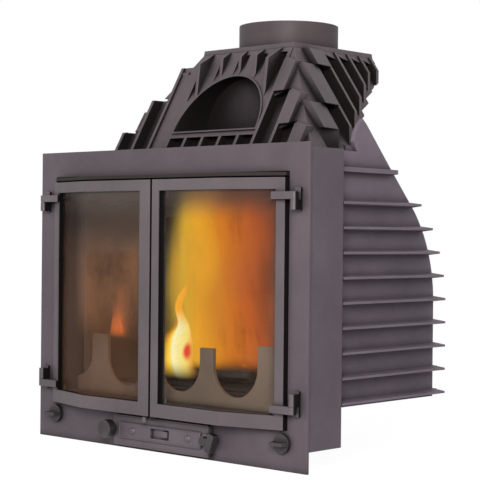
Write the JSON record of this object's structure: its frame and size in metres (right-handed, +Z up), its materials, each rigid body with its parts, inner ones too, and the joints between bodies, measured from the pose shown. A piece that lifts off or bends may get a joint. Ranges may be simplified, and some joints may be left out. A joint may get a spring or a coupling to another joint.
{
  "type": "fireplace insert",
  "caption": "Cast iron fireplace insert with two bowed glass doors, a finned body, a ribbed smoke dome and a round flue collar.",
  "frame": {"origin": "a point midway across the ash box's underside, the face the insert stands on, 150 mm behind the front plate's front face", "axes": "+Z up, -Y towards the room, +X to the right seen from the front"},
  "size_m": [0.7, 0.512, 0.826],
  "materials": {
    "plate": "matt, fine sand grain",
    "casing": "matt stove paint",
    "body": "matt, as cast",
    "dome": "matt, as cast",
    "doors": "satin, fine grain",
    "controls": "satin, fine grain",
    "steel": "dull",
    "glass": "clear ceramic glass",
    "seal": "braided rope",
    "lining": "rough firebrick"
  },
  "bodies": {
    "insert": {"ash_box": "casing", "ash_pan": "casing", "back_lining": "lining", "back_wall": "body", "baffle": "lining", "base_plate": "body", "body_flange": "body", "casing_floor_left": "casing", "casing_floor_right": "casing", "casing_roof": "casing", "casing_side_left": "casing", "casing_side_right": "casing", "collar_bolts": "steel", "control_plate": "controls", "control_screws": "steel", "dome_lid": "dome", "door_frame": "doors", "door_stop": "controls", "fire_grate": "body", "flue_collar": "dome", "front_plate": "plate", "left_hinge_blocks": "doors", "left_hinge_pins": "steel", "left_lining": "lining", "lever_boss": "controls", "log_guard": "body", "lower_panel": "controls", "right_hinge_blocks": "doors", "right_hinge_pins": "steel", "right_lining": "lining", "side_wall_left": "body", "side_wall_right": "body", "smoke_dome": "dome", "throat": "casing", "top_casting": "body"},
    "left_door": {"left_door_frame": "doors", "left_door_glass": "glass", "left_door_seal": "seal", "left_glass_clips": "steel", "left_hinge_arms": "doors", "latch_roller": "steel"},
    "right_door": {"right_door_frame": "doors", "right_door_glass": "glass", "right_door_seal": "seal", "right_glass_clips": "steel", "right_hinge_arms": "doors"},
    "left_air_valve": {"left_air_knob": "controls", "left_air_spindle": "steel", "left_air_disc": "steel"},
    "right_air_valve": {"right_air_knob": "controls", "right_air_spindle": "steel", "right_air_disc": "steel"},
    "primary_air_lever": {"control_lever": "controls", "primary_flap": "steel"},
    "shaker": {"pull_knob": "controls", "pull_rod": "steel", "shaker_plate": "body"},
    "air_shutter": {"air_slide": "controls"}
  },
  "joints": [
    {"name": "left_door_hinge", "type": "hinge", "parent": "insert", "child": "left_door", "pos_m": [-0.328, -0.164, 0.29], "axis": [0, 0, -1], "range_deg": [0, 110]},
    {"name": "right_door_hinge", "type": "hinge", "parent": "insert", "child": "right_door", "pos_m": [0.328, -0.164, 0.29], "axis": [0, 0, 1], "range_deg": [0, 110]},
    {"name": "left_air_turn", "type": "hinge", "parent": "insert", "child": "left_air_valve", "pos_m": [-0.297, -0.158, 0.048], "axis": [0, 1, 0], "range_deg": [0, 60]},
    {"name": "right_air_turn", "type": "hinge", "parent": "insert", "child": "right_air_valve", "pos_m": [0.297, -0.158, 0.048], "axis": [0, 1, 0], "range_deg": [0, 60]},
    {"name": "primary_air_turn", "type": "hinge", "parent": "insert", "child": "primary_air_lever", "pos_m": [0.1245, -0.165, 0.036], "axis": [0, 1, 0], "range_deg": [0, 60]},
    {"name": "shaker_pull", "type": "slide", "parent": "insert", "child": "shaker", "axis": [0, -1, 0], "range_m": [0, 0.03]},
    {"name": "air_shutter_slide", "type": "slide", "parent": "insert", "child": "air_shutter", "axis": [-1, 0, 0], "range_m": [0, 0.025]}
  ]
}
